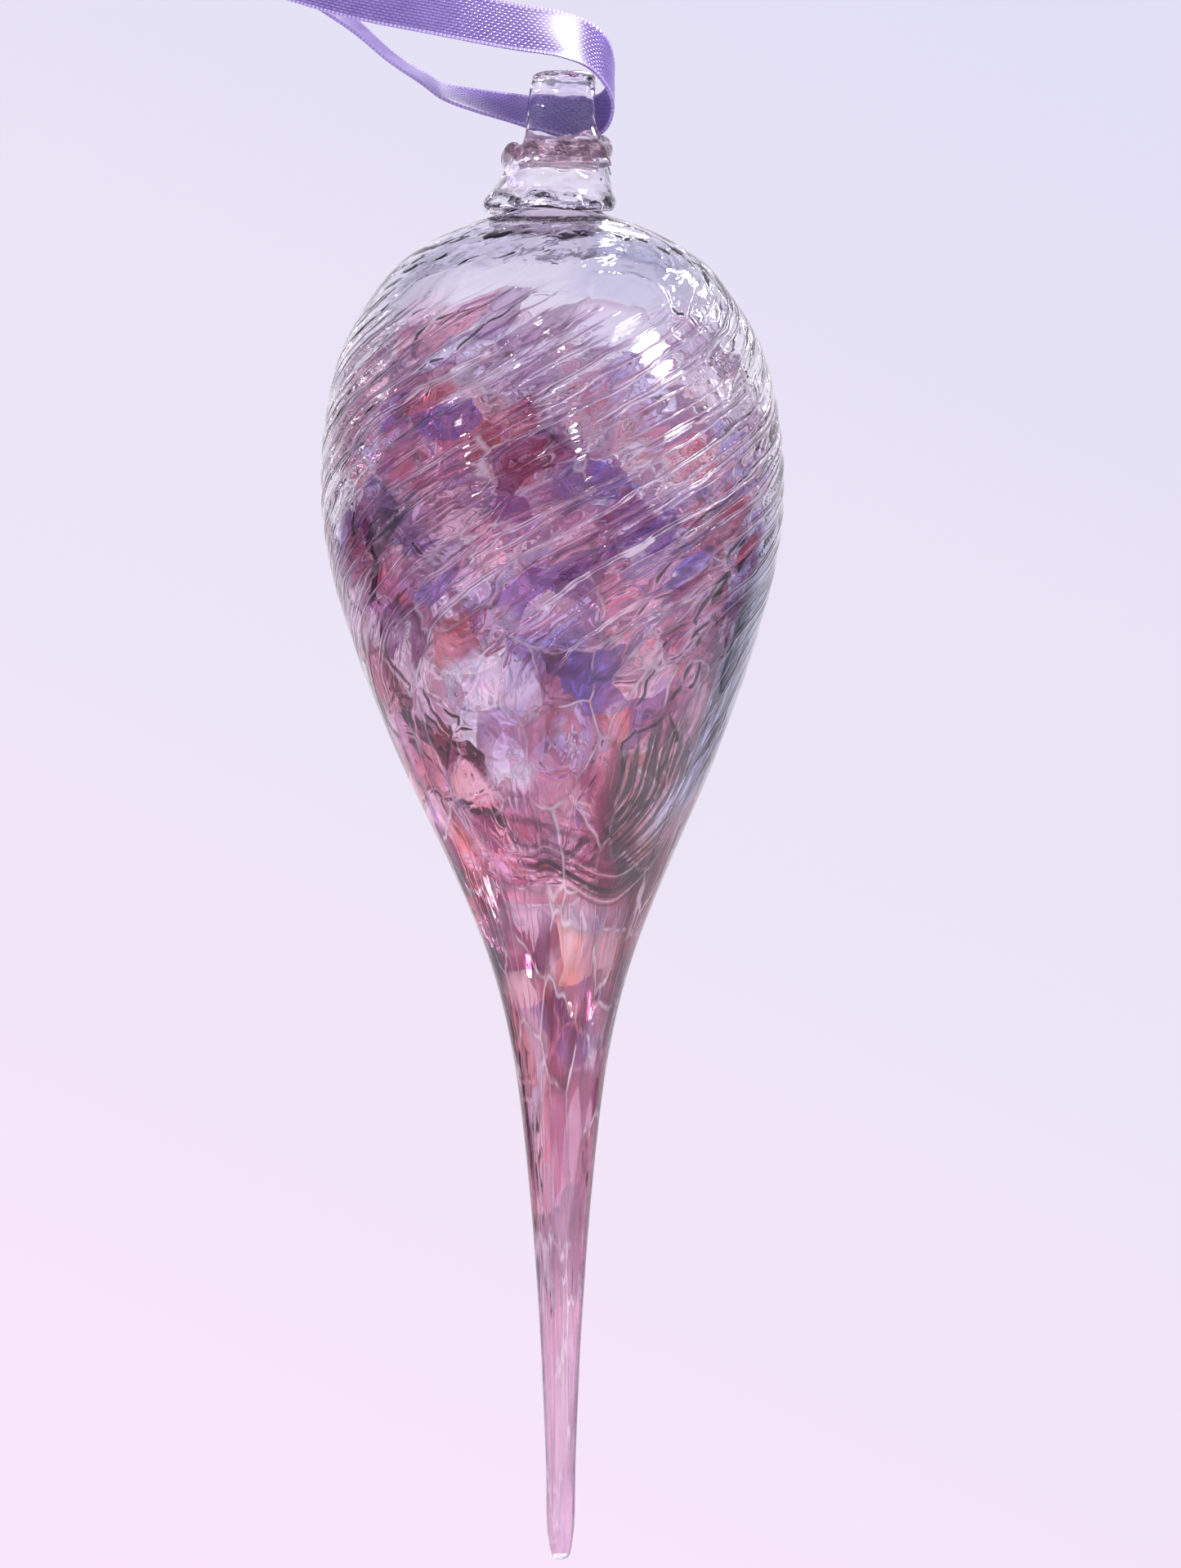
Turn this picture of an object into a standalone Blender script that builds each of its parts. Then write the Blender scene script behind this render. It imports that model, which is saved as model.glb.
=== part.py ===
"""Blown-glass icicle ornament: a hollow bulb drawn out into a long solid tail, a clear glass
eye applied over its neck, and a satin ribbon tied through the eye.

Units are metres. +Z is up, and the origin is the point inside the eye where the ornament
hangs, on the bulb's axis. The eye's hole runs along X, and the front of the ornament is -Y.
"""

import math

import bmesh
import bpy
from mathutils import Matrix, Vector

MM = 0.001

# Driving dimensions
OVERALL_LENGTH = 200 * MM
BULB_DIAMETER = 62 * MM
EYE_THICKNESS = 3.0 * MM
EYE_WIDTH = 9.0 * MM
HOLE_DEPTH = 9.0 * MM
HOLE_HEIGHT = 7.8 * MM
RIBBON_WIDTH = 6.35 * MM
RIBBON_THICKNESS = 0.4 * MM

# Glass wall, with a gap between its two gathers of glass
CASING = 1.2 * MM
LAYER_GAP = 0.3 * MM
WALL = 3.2 * MM
TAIL_CASING_SHARE = 0.4
TIP_CASING = 2.0 * MM

# Outer outline as (radius / bulb radius, height below the eye / overall length)
NECK_TOP = 15.2 * MM
TIP_DEPTH = OVERALL_LENGTH - EYE_THICKNESS
TURN_STEPS = 36
OUTLINE = [
    (0.200, 0.0760),
    (0.203, 0.0795),
    (0.245, 0.0835),
    (0.342, 0.0880),
    (0.545, 0.1025),
    (0.719, 0.1245),
    (0.897, 0.1685),
    (0.976, 0.2150),
    (1.000, 0.2675),
    (0.958, 0.3225),
    (0.832, 0.3880),
    (0.665, 0.4540),
    (0.471, 0.5195),
    (0.303, 0.5850),
    (0.201, 0.6515),
    (0.134, 0.7390),
    (0.092, 0.8265),
    (0.067, 0.9100),
    (0.060, 0.9600),
    (0.043, 0.9800),
]
SAMPLES_PER_SPAN = 2

# Air cavity's rounded bottom, as (radius, depth), below the last station that follows the wall
CAVITY_LEAVES_WALL = 84 * MM
CAVITY_BOTTOM = [(15.6, 90.5), (11.6, 97.0), (7.0, 101.8), (3.0, 104.2), (0.0, 104.8)]

# Eye and its foot
HOLE_TOP_RADIUS = 3.0 * MM
HOLE_FLOOR_RADIUS = 1.2 * MM
FOOT_TOP = 8.4 * MM
FOOT_BOTTOM = 18.2 * MM
FOOT_TOP_SIZE = (6.5 * MM, 7.6 * MM)
FOOT_BOTTOM_SIZE = (10.0 * MM, 9.2 * MM)
FOOT_CLEARANCE = 0.25 * MM
PLUG_RADIUS = 2.7 * MM
PLUG_END = 19.0 * MM
EYE_ROUNDING = 0.9 * MM

# Ribbon routes in millimetres: centre x, y, z, and the direction across its width.
# The front strand comes from the knot, the wrap turns back through the hole, and the rear
# strand returns. Each strand laps over the wrap's end, so that it can swing past it.
FRONT_STRAND = [
    ((-61.0, -3.2, 24.0), (0.35, 0.00, 0.94)),
    ((-50.0, -6.8, 19.8), (0.32, 0.00, 0.95)),
    ((-37.2, -10.8, 15.1), (0.28, 0.00, 0.96)),
    ((-26.0, -13.4, 11.8), (0.22, 0.05, 0.97)),
    ((-14.0, -14.4, 9.3), (0.16, 0.12, 0.98)),
    ((-3.6, -13.4, 7.5), (0.16, 0.16, 0.97)),
]
WRAP = [
    ((-3.6, -12.2, 7.5), (0.16, 0.16, 0.97)),
    ((2.4, -10.8, 6.4), (0.16, 0.24, 0.96)),
    ((6.4, -8.8, 3.9), (0.12, 0.42, 0.90)),
    ((8.0, -6.0, -0.3), (0.00, 0.64, 0.77)),
    ((6.6, -3.4, -3.2), (0.00, 0.40, 0.92)),
    ((3.0, -2.4, -4.0), (0.00, 0.10, 1.00)),
    ((-1.0, -2.2, -4.0), (0.00, 0.00, 1.00)),
    ((-5.2, -2.1, -3.6), (0.00, 0.00, 1.00)),
]
REAR_STRAND = [
    ((-5.2, -3.0, -3.6), (0.00, 0.00, 1.00)),
    ((-9.8, -3.0, -2.2), (-0.10, 0.30, 0.95)),
    ((-14.3, -3.0, -0.5), (-0.20, 0.88, 0.45)),
    ((-17.5, -3.0, 1.0), (-0.15, 0.96, 0.25)),
    ((-21.4, -2.9, 3.7), (-0.15, 0.97, 0.20)),
    ((-27.1, -2.6, 8.6), (-0.12, 0.96, 0.27)),
    ((-35.0, -1.8, 14.8), (0.05, 0.85, 0.55)),
    ((-43.0, -1.4, 19.2), (0.20, 0.55, 0.80)),
    ((-52.0, -1.2, 22.6), (0.30, 0.20, 0.93)),
    ((-61.0, -1.2, 25.2), (0.35, 0.00, 0.94)),
]
RIBBON_RUNS = {
    "ribbon_front_strand": FRONT_STRAND,
    "ribbon_wrap": WRAP,
    "ribbon_rear_strand": REAR_STRAND,
    "ribbon_tail_front": [
        ((-68.6, -3.6, 26.0), (0.30, 0.20, 0.93)),
        ((-72.6, -4.6, 26.4), (0.05, 0.40, 0.90)),
        ((-77.0, -5.6, 24.0), (-0.45, 0.45, 0.70)),
        ((-79.8, -6.2, 18.4), (-0.70, 0.60, 0.20)),
        ((-81.0, -6.6, 11.0), (-0.70, 0.70, 0.00)),
    ],
    "ribbon_tail_rear": [
        ((-68.6, -1.0, 26.4), (0.30, -0.20, 0.93)),
        ((-73.4, 0.2, 27.4), (0.05, -0.40, 0.90)),
        ((-79.6, 1.4, 25.6), (-0.40, -0.50, 0.75)),
        ((-83.8, 2.2, 20.6), (-0.60, -0.75, 0.30)),
        ((-85.6, 2.6, 14.0), (-0.60, -0.80, 0.00)),
    ],
}
KNOT_CENTRE = (-64.8, -2.4, 25.2)
KNOT_SIZE = (3.4, 2.8, 4.2)
RIBBON_STEP = 2.0 * MM


def material(name, colour, roughness, metallic=0.0, transmission=0.0):
    """A Principled material with plain values."""
    made = bpy.data.materials.new(name)
    made.use_nodes = True
    shader = made.node_tree.nodes["Principled BSDF"]
    shader.inputs["Base Color"].default_value = (*colour, 1)
    shader.inputs["Roughness"].default_value = roughness
    shader.inputs["Metallic"].default_value = metallic
    shader.inputs["Transmission Weight"].default_value = transmission
    made.diffuse_color = (*colour, 1)
    return made


def add_object(name, data, collection, look=None):
    made = bpy.data.objects.new(name, data)
    collection.objects.link(made)
    if look:
        data.materials.append(look)
    return made


def catmull_rom(points, steps):
    """A smooth line through the points, with that many steps a span."""
    vectors = [Vector(p) for p in points]
    ends = [2 * vectors[0] - vectors[1], *vectors, 2 * vectors[-1] - vectors[-2]]
    line = []
    for a, b, c, d in zip(ends, ends[1:], ends[2:], ends[3:]):
        for i in range(steps):
            t = i / steps
            slope = (c - a) * t + (2 * a - 5 * b + 4 * c - d) * t**2
            line.append(0.5 * (2 * b + slope + (3 * b - a - 3 * c + d) * t**3))
    return [*line, vectors[-1]]


def inset(line, depth):
    """The outline moved inwards along its own normals. depth is a number or one for each point."""
    depths = depth if isinstance(depth, list) else [depth] * len(line)
    moved = []
    for i, (point, by) in enumerate(zip(line, depths)):
        along = (line[min(i + 1, len(line) - 1)] - line[max(i - 1, 0)]).normalized()
        if i == 0:
            along = Vector((0, -1))
        moved.append(point + Vector((along.y, -along.x)) * by)
    return moved


def turned(name, profile, collection, look=None):
    """A profile of (radius, height) turned round Z. It starts and ends on the axis."""
    mesh = bpy.data.meshes.new(name)
    edges = [(i, i + 1) for i in range(len(profile) - 1)]
    mesh.from_pydata([(r, 0, z) for r, z in profile], edges, [])
    made = add_object(name, mesh, collection, look)
    screw = made.modifiers.new("turn", "SCREW")
    screw.steps = screw.render_steps = TURN_STEPS
    screw.use_merge_vertices = True
    screw.merge_threshold = 0.00001
    screw.use_smooth_shade = True
    return made


def outer_outline():
    """The bulb's outer side from the neck's lip to just above the tip, as (radius, height)."""
    points = [(r * BULB_DIAMETER / 2, -d * OVERALL_LENGTH) for r, d in OUTLINE]
    return catmull_rom(points, SAMPLES_PER_SPAN)


def on_axis(depth):
    return Vector((0, -depth))


def cavity_outline(outer):
    """The air cavity from the neck to its rounded bottom."""
    along_wall = [p for p in inset(outer, WALL) if p.y > -CAVITY_LEAVES_WALL]
    bottom = [Vector((r * MM, -d * MM)) for r, d in CAVITY_BOTTOM]
    return [*along_wall, *bottom]


def glass_gathers(collection, clear, coloured):
    """The blown wall: the coloured first gather with its bubble, and the clear casing over it."""
    outer = outer_outline()
    cavity = cavity_outline(outer)
    casing = [min(CASING, TAIL_CASING_SHARE * p.x) for p in outer]
    casing_inside = inset(outer, casing)
    first_outside = inset(outer, [thickness + LAYER_GAP for thickness in casing])
    last = len(outer) - 2
    turned(
        "clear_casing",
        [
            on_axis(TIP_DEPTH - TIP_CASING),
            *reversed(casing_inside[:last]),
            *outer,
            on_axis(TIP_DEPTH),
        ],
        collection,
        clear,
    )
    turned(
        "blown_bulb",
        [
            *reversed(cavity),
            *first_outside[:last],
            on_axis(TIP_DEPTH - TIP_CASING - LAYER_GAP),
        ],
        collection,
        coloured,
    )


def arc(centre, radius, start, end, steps=5):
    """Points along an arc in the YZ plane, with its angles in degrees from +Y."""
    points = []
    for i in range(steps + 1):
        angle = math.radians(start + (end - start) * i / steps)
        spot = (centre[0] + radius * math.cos(angle), centre[1] + radius * math.sin(angle))
        points.append(spot)
    return points


def eye_splines():
    """The eye's side view: its outer edge and its hole, as (y, z) points."""
    half = HOLE_DEPTH / 2
    corner = half - HOLE_TOP_RADIUS
    floor_corner = half - HOLE_FLOOR_RADIUS
    floor = HOLE_FLOOR_RADIUS - HOLE_HEIGHT
    outside = HOLE_TOP_RADIUS + EYE_THICKNESS
    outer = [
        (half + EYE_THICKNESS, -FOOT_TOP - EYE_THICKNESS),
        *arc((corner, -HOLE_TOP_RADIUS), outside, 0, 90, 6),
        *arc((-corner, -HOLE_TOP_RADIUS), outside, 90, 180, 6),
        (-half - EYE_THICKNESS, -FOOT_TOP - EYE_THICKNESS),
    ]
    hole = [
        *arc((corner, -HOLE_TOP_RADIUS), HOLE_TOP_RADIUS, 0, 90),
        *arc((-corner, -HOLE_TOP_RADIUS), HOLE_TOP_RADIUS, 90, 180),
        *arc((-floor_corner, floor), HOLE_FLOOR_RADIUS, 180, 270, 3),
        *arc((floor_corner, floor), HOLE_FLOOR_RADIUS, 270, 360, 3),
    ]
    return outer, hole


def eye_band(collection):
    """The flat band of the eye, its edges rounded, with its hole along X."""
    curve = bpy.data.curves.new("eye_outline", "CURVE")
    curve.dimensions = "2D"
    curve.fill_mode = "BOTH"
    curve.extrude = EYE_WIDTH / 2
    for points in eye_splines():
        spline = curve.splines.new("POLY")
        spline.points.add(len(points) - 1)
        spline.use_cyclic_u = True
        for spot, (y, z) in zip(spline.points, points):
            spot.co = (y, z, 0, 1)
    flat = add_object("eye_outline", curve, collection)
    bpy.context.view_layer.update()
    graph = bpy.context.evaluated_depsgraph_get()
    mesh = bpy.data.meshes.new_from_object(flat.evaluated_get(graph))
    bpy.data.objects.remove(flat)
    # The outline's own x and y become Y and Z, so its thickness lies along X.
    mesh.transform(Matrix(((0, 0, 1, 0), (1, 0, 0, 0), (0, 1, 0, 0), (0, 0, 0, 1))))
    welded = bmesh.new()
    welded.from_mesh(mesh)
    bmesh.ops.remove_doubles(welded, verts=welded.verts, dist=0.00001)
    rims = [e for e in welded.edges if e.calc_face_angle(0) > math.radians(60)]
    bmesh.ops.bevel(
        welded,
        geom=rims,
        offset=EYE_ROUNDING,
        segments=2,
        profile=0.5,
        affect="EDGES",
    )
    welded.to_mesh(mesh)
    welded.free()
    return add_object("hanging_eye", mesh, collection)


def elliptic_cone(name, top_size, bottom_size, top, bottom, collection):
    """An upright cone with elliptic ends, as half sizes along X and Y and depths below the origin."""
    shape = bmesh.new()
    bmesh.ops.create_cone(
        shape, cap_ends=True, segments=TURN_STEPS, radius1=1, radius2=1, depth=1
    )
    for vert in shape.verts:
        rx, ry = top_size if vert.co.z > 0 else bottom_size
        height = -top if vert.co.z > 0 else -bottom
        vert.co = Vector((vert.co.x * rx, vert.co.y * ry, height))
    mesh = bpy.data.meshes.new(name)
    shape.to_mesh(mesh)
    shape.free()
    return add_object(name, mesh, collection)


def neck_cutter(collection):
    """The bulb's neck and shoulder, grown by the foot's clearance."""
    outer = outer_outline()
    shoulder = [p for p in outer if p.y > -2 * FOOT_BOTTOM]
    grown_side = inset(shoulder, -FOOT_CLEARANCE)
    lip = NECK_TOP - FOOT_CLEARANCE
    grown_side[0].y = -lip
    base = on_axis(-grown_side[-1].y)
    return turned("neck_cutter", [on_axis(lip), *grown_side, base], collection)


def boolean(target, cutter, operation):
    """Applies the Boolean with the EXACT solver, and hides what it used."""
    step = target.modifiers.new(operation.lower(), "BOOLEAN")
    step.operation = operation
    step.object = cutter
    cutter.hide_render = True
    cutter.display_type = "WIRE"


def hanging_eye(collection, cutters, look):
    """The eye drawn from a gather of clear glass, whose foot caps the neck and plugs its hole."""
    band = eye_band(collection)
    band.data.materials.append(look)
    foot = elliptic_cone(
        "eye_foot", FOOT_TOP_SIZE, FOOT_BOTTOM_SIZE, FOOT_TOP, FOOT_BOTTOM, cutters
    )
    plug_size = (PLUG_RADIUS, PLUG_RADIUS)
    plug = elliptic_cone("eye_plug", plug_size, plug_size, FOOT_TOP + MM, PLUG_END, cutters)
    boolean(band, foot, "UNION")
    boolean(band, neck_cutter(cutters), "DIFFERENCE")
    boolean(band, plug, "UNION")
    return band


def ribbon_frames(route):
    """Centres along a smooth route with the unit vectors across and out of the ribbon there."""
    centres = [Vector(p) * MM for p, _ in route]
    lengths = [(b - a).length for a, b in zip(centres, centres[1:])]
    steps = max(2, math.ceil(max(lengths) / RIBBON_STEP))
    line = catmull_rom(centres, steps)
    sides = catmull_rom([across for _, across in route], steps)
    frames = []
    for i, (point, side) in enumerate(zip(line, sides)):
        along = (line[min(i + 1, len(line) - 1)] - line[max(i - 1, 0)]).normalized()
        across = (side - side.dot(along) * along).normalized()
        frames.append((point, across, along.cross(across)))
    return frames


def ribbon_strip(name, frames, collection, look):
    """A flat band lofted along the frames. It twists, so its cross-section is set at each one."""
    shape = bmesh.new()
    rings = []
    for point, across, out in frames:
        wide, thick = across * RIBBON_WIDTH / 2, out * RIBBON_THICKNESS / 2
        corners = (wide + thick, thick - wide, -wide - thick, wide - thick)
        rings.append([shape.verts.new(point + corner) for corner in corners])
    for a, b in zip(rings, rings[1:]):
        for i in range(4):
            j = (i + 1) % 4
            shape.faces.new((a[i], a[j], b[j], b[i]))
    shape.faces.new(reversed(rings[0]))
    shape.faces.new(rings[-1])
    bmesh.ops.recalc_face_normals(shape, faces=shape.faces)
    mesh = bpy.data.meshes.new(name)
    shape.to_mesh(mesh)
    shape.free()
    return add_object(name, mesh, collection, look)


def ribbon(collection, look):
    """The tied ribbon: two strands, the wrap through the eye, two tails and the knot."""
    for name, route in RIBBON_RUNS.items():
        ribbon_strip(name, ribbon_frames(route), collection, look)
    shape = bmesh.new()
    bmesh.ops.create_uvsphere(shape, u_segments=16, v_segments=10, radius=1)
    bmesh.ops.scale(shape, vec=Vector(KNOT_SIZE) * MM, verts=shape.verts)
    bmesh.ops.translate(shape, vec=Vector(KNOT_CENTRE) * MM, verts=shape.verts)
    mesh = bpy.data.meshes.new("ribbon_knot")
    shape.to_mesh(mesh)
    shape.free()
    add_object("ribbon_knot", mesh, collection, look)


def main():
    for old in list(bpy.data.objects):
        bpy.data.objects.remove(old)
    ornament = bpy.data.collections.new("icicle_ornament")
    cutters = bpy.data.collections.new("cutters")
    bpy.context.scene.collection.children.link(ornament)
    bpy.context.scene.collection.children.link(cutters)
    clear = material("clear_glass", (0.93, 0.92, 0.97), 0.02, transmission=1.0)
    coloured = material("coloured_glass", (0.55, 0.30, 0.52), 0.05, transmission=0.8)
    satin = material("satin_ribbon", (0.42, 0.26, 0.72), 0.4)
    glass_gathers(ornament, clear, coloured)
    hanging_eye(ornament, cutters, clear)
    ribbon(ornament, satin)


main()
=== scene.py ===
"""Looks of the blown-glass icicle ornament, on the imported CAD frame.

Units are metres. The frame's origin is the crown of the eye's hole, +Z is up, and the front
faces -Y. Angles round the glass are measured from +X towards +Y, so the front is at -90 degrees.
"""

import math

import bmesh
import bpy
import numpy as np
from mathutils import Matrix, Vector

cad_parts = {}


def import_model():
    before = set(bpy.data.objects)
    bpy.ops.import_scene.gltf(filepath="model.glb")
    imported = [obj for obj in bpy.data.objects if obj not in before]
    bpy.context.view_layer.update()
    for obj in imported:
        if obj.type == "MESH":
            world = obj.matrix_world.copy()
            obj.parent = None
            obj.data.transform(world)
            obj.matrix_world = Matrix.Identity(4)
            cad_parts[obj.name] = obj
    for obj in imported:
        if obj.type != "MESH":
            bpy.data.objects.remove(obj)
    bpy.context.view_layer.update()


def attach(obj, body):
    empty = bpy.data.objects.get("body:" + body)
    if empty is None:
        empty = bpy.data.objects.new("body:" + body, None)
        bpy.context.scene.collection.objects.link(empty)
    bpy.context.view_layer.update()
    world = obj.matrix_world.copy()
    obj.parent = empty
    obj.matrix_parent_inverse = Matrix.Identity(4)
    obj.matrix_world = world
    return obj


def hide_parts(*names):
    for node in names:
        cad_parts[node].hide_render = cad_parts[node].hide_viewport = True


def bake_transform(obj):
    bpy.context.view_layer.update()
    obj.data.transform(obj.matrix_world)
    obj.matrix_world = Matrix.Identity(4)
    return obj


MM = 0.001

# ---- Camera ----
CAMERA_PLACE = (0.0051, -0.900, -0.0929)
VIEW_HEIGHT = 0.2105
SENSOR = 36.0

# ---- Glass outline, as in the CAD: (radius / bulb radius, depth / overall length) ----
OVERALL_LENGTH = 200 * MM
BULB_RADIUS = 31 * MM
TIP_DEPTH = 197 * MM
OUTLINE = [
    (0.200, 0.0760),
    (0.203, 0.0795),
    (0.245, 0.0835),
    (0.342, 0.0880),
    (0.545, 0.1025),
    (0.719, 0.1245),
    (0.897, 0.1685),
    (0.976, 0.2150),
    (1.000, 0.2675),
    (0.958, 0.3225),
    (0.832, 0.3880),
    (0.665, 0.4540),
    (0.471, 0.5195),
    (0.303, 0.5850),
    (0.201, 0.6515),
    (0.134, 0.7390),
    (0.092, 0.8265),
    (0.067, 0.9100),
    (0.060, 0.9600),
    (0.043, 0.9800),
]
WALL = 3.2 * MM
CAVITY_LEAVES_WALL = 84 * MM
# radius and depth of the bubble's rounded floor, in millimetres
CAVITY_BOTTOM = [(15.6, 90.5), (11.6, 97.0), (7.0, 101.8), (3.0, 104.2), (0.0, 104.8)]
CAVITY_DEPTH = CAVITY_BOTTOM[-1][1] * MM
FRIT_DEPTH = 1.2 * MM  # how deep the sheet of colour lies, where the glass is thick enough
FRIT_SHARE = 0.22  # the most it may be of the radius
TAIL_ASIDE = 1.1 * MM  # the tail was drawn a little to the right of the bulb's axis
FLOOR_ASIDE = 2.5 * MM  # the bubble's floor slumps to the left

# ---- Size of a cell of colour across and along the glass, at depths, all in millimetres ----
CELL_WIDE_AT = [0, 70, 112, 150, 197]
CELL_WIDE = [9.0, 8.6, 5.0, 2.6, 1.6]
CELL_LONG_AT = [0, 80, 105, 125, 160, 197]
CELL_LONG = [7.6, 8.0, 12, 16, 24, 40]

# ---- Mesh resolution of the glass ----
AROUND = 224
ROW_HEIGHT_BULB = 0.5 * MM
ROW_HEIGHT_TAIL = 1.3 * MM
BULB_END = 110 * MM
BUBBLE_ROWS = 170
FRIT_AROUND = 192
FRIT_ROWS = 240

# ---- Twisted ribs ----
RIB_COUNT = 28
FINE_RIB_COUNT = 43
RIB_HEIGHT = 0.24 * MM
TWIST_BULB = 60.0  # radians a metre
TWIST_TAIL = 3.0
COLOUR_TWIST = 0.4  # share of the twist that the cells of colour follow

# ---- Line that the bubble's floor draws: degrees from -X, turning past the front, and depth ----
SWIRL_ANGLES = [0, 40, 73, 83, 96, 108, 120, 131, 149, 156, 162, 170, 225, 270, 360]
SWIRL_DEPTHS = [98, 101.5, 103.1, 102.4, 104.0, 105.7, 106.3, 105.7]
SWIRL_DEPTHS += [101.8, 97.9, 89, 80, 84, 92, 98]
SWIRL_WIDTH = 10 * MM
# painted shade as dark lines and painted highlights as pale lines, at places across the floor's
# line from 0 to 1
SWIRL_DARK = [
    *[(0.26, 0.0), (0.29, 0.7), (0.32, 0.0)],
    *[(0.40, 0.0), (0.43, 0.8), (0.45, 0.1), (0.50, 0.3)],
    *[(0.53, 1.0), (0.58, 1.0), (0.60, 0.1)],
    *[(0.63, 0.9), (0.66, 0.1), (0.72, 0.0)],
    *[(0.74, 0.7), (0.77, 0.0)],
]
SWIRL_PALE = [(0.33, 0.0), (0.36, 0.6), (0.39, 0.0), (0.66, 0.0), (0.69, 0.7), (0.72, 0.0)]

# ---- Eye ----
EYE_ASIDE = 1.4 * MM  # the real band stands a little to the right

# ---- Ribbon, as in the CAD, in millimetres: centre and the direction across its width ----
RIBBON_WIDTH = 6.35 * MM
RIBBON_THICKNESS = 0.36 * MM
RIBBON_ROUTE = [
    ((-64.2, -2.9, 24.9), (0.35, 0.00, 0.94)),
    ((-60.0, -3.6, 23.5), (0.35, 0.00, 0.94)),
    ((-50.0, -7.0, 19.8), (0.32, 0.00, 0.95)),
    ((-37.2, -11.2, 15.0), (0.28, 0.02, 0.96)),
    ((-26.0, -14.0, 11.4), (0.22, 0.06, 0.97)),
    ((-14.0, -14.8, 8.9), (0.16, 0.14, 0.98)),
    ((-5.0, -13.2, 7.3), (0.14, 0.22, 0.95)),
    ((1.6, -10.9, 6.4), (0.14, 0.30, 0.93)),
    ((5.9, -8.5, 4.5), (0.12, 0.42, 0.90)),
    ((8.0, -5.9, 0.2), (0.00, 0.62, 0.78)),
    ((6.8, -3.2, -2.9), (0.00, 0.50, 0.86)),
    ((3.4, -2.0, -3.9), (0.00, 0.45, 0.90)),
    ((-1.0, -1.7, -3.3), (0.00, 0.62, 0.78)),
    ((-5.2, -1.9, -2.4), (0.00, 0.74, 0.67)),
    ((-9.8, -2.4, -1.5), (-0.08, 0.83, 0.55)),
    ((-14.3, -2.8, -0.3), (-0.02, 0.92, 0.40)),
    ((-17.3, -2.9, 1.6), (0.06, 0.95, 0.29)),
    ((-21.6, -2.8, 4.4), (0.12, 0.96, 0.24)),
    ((-27.1, -2.5, 9.1), (0.14, 0.95, 0.28)),
    ((-35.0, -1.8, 14.8), (0.15, 0.85, 0.50)),
    ((-43.0, -1.4, 19.2), (0.20, 0.55, 0.80)),
    ((-52.0, -1.2, 22.6), (0.30, 0.20, 0.93)),
    ((-60.0, -1.3, 24.9), (0.35, 0.00, 0.94)),
    ((-64.2, -1.9, 25.4), (0.35, 0.00, 0.94)),
]
TAIL_ROUTES = {
    "ribbon_tail_front": [
        ((-65.4, -2.9, 25.3), (0.32, 0.10, 0.94)),
        ((-68.6, -3.7, 26.2), (0.25, 0.20, 0.94)),
        ((-72.6, -4.6, 26.4), (0.05, 0.40, 0.90)),
        ((-77.0, -5.6, 24.0), (-0.45, 0.45, 0.70)),
        ((-79.8, -6.2, 18.4), (-0.70, 0.60, 0.20)),
        ((-81.0, -6.6, 11.0), (-0.70, 0.70, 0.00)),
    ],
    "ribbon_tail_rear": [
        ((-65.4, -1.9, 25.5), (0.32, -0.10, 0.94)),
        ((-68.8, -0.9, 26.7), (0.25, -0.20, 0.94)),
        ((-73.4, 0.2, 27.4), (0.05, -0.40, 0.90)),
        ((-79.6, 1.4, 25.6), (-0.40, -0.50, 0.75)),
        ((-83.8, 2.2, 20.6), (-0.60, -0.75, 0.30)),
        ((-85.6, 2.6, 14.0), (-0.60, -0.80, 0.00)),
    ],
}
RIBBON_COLUMNS = 12
FLOAT_WIDTH = 0.40  # the weave is measured in millimetres
FLOAT_LENGTH = 0.85
LOOP_LENGTH = 0.55
SELVEDGE_BEGINS = 2.8
GATHER_LENGTH = 9 * MM  # the ribbon narrows over this length, down to its share at the knot
GATHERED_SHARE = 0.42
KNOT_CENTRE = (-64.8, -2.4, 25.2)
KNOT_SIZE = (1.7, 0.50, 0.80)
KNOT_STRAND = (1.5 * MM, 0.9 * MM)  # half width and half thickness of the bunched ribbon
KNOT_SECTIONS = 160


# ---------------------------------------------------------------- small helpers


def catmull_rom(points, steps):
    """A smooth line through the points, with that many steps a span."""
    vectors = [Vector(p) for p in points]
    ends = [2 * vectors[0] - vectors[1], *vectors, 2 * vectors[-1] - vectors[-2]]
    line = []
    for a, b, c, d in zip(ends, ends[1:], ends[2:], ends[3:]):
        for i in range(steps):
            t = i / steps
            slope = (c - a) * t + (2 * a - 5 * b + 4 * c - d) * t**2
            line.append(0.5 * (2 * b + slope + (3 * b - a - 3 * c + d) * t**3))
    return [*line, vectors[-1]]


def smoothstep(low, high, x):
    t = np.clip((x - low) / (high - low), 0, 1)
    return t * t * (3 - 2 * t)


def new_object(name, data):
    made = bpy.data.objects.new(name, data)
    bpy.context.scene.collection.objects.link(made)
    return made


def new_mesh(name, points, faces, material):
    mesh = bpy.data.meshes.new(name)
    mesh.from_pydata([tuple(p) for p in points], [], faces)
    mesh.materials.append(material)
    mesh.shade_smooth()
    return new_object(name, mesh)


def ring_faces(rows, around, first=0, flip=False, closed=False):
    """Four-sided faces between rings of points. A closed form joins its last ring to its first."""
    faces = []
    for i in range(rows if closed else rows - 1):
        here = first + i * around
        there = first + (i + 1) % rows * around
        for j in range(around):
            k = (j + 1) % around
            a, b, c, d = here + j, here + k, there + k, there + j
            faces.append((a, b, c, d) if flip else (a, d, c, b))
    return faces


def end_faces(rows, around):
    """One face over the first ring and one over the last."""
    last = (rows - 1) * around
    return [tuple(reversed(range(around))), tuple(last + j for j in range(around))]


def store(obj, name, values):
    """A vector for each vertex, which the material reads by name."""
    attribute = obj.data.attributes.new(name, "FLOAT_VECTOR", "POINT")
    attribute.data.foreach_set("vector", np.asarray(values, np.float32).ravel())


def columns(*values):
    """Up to three values a vertex as vectors, with 0 for those left out."""
    shape = np.shape(values[0])
    blank = [np.zeros(shape)] * (3 - len(values))
    return np.stack([*values, *blank], -1)


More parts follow.
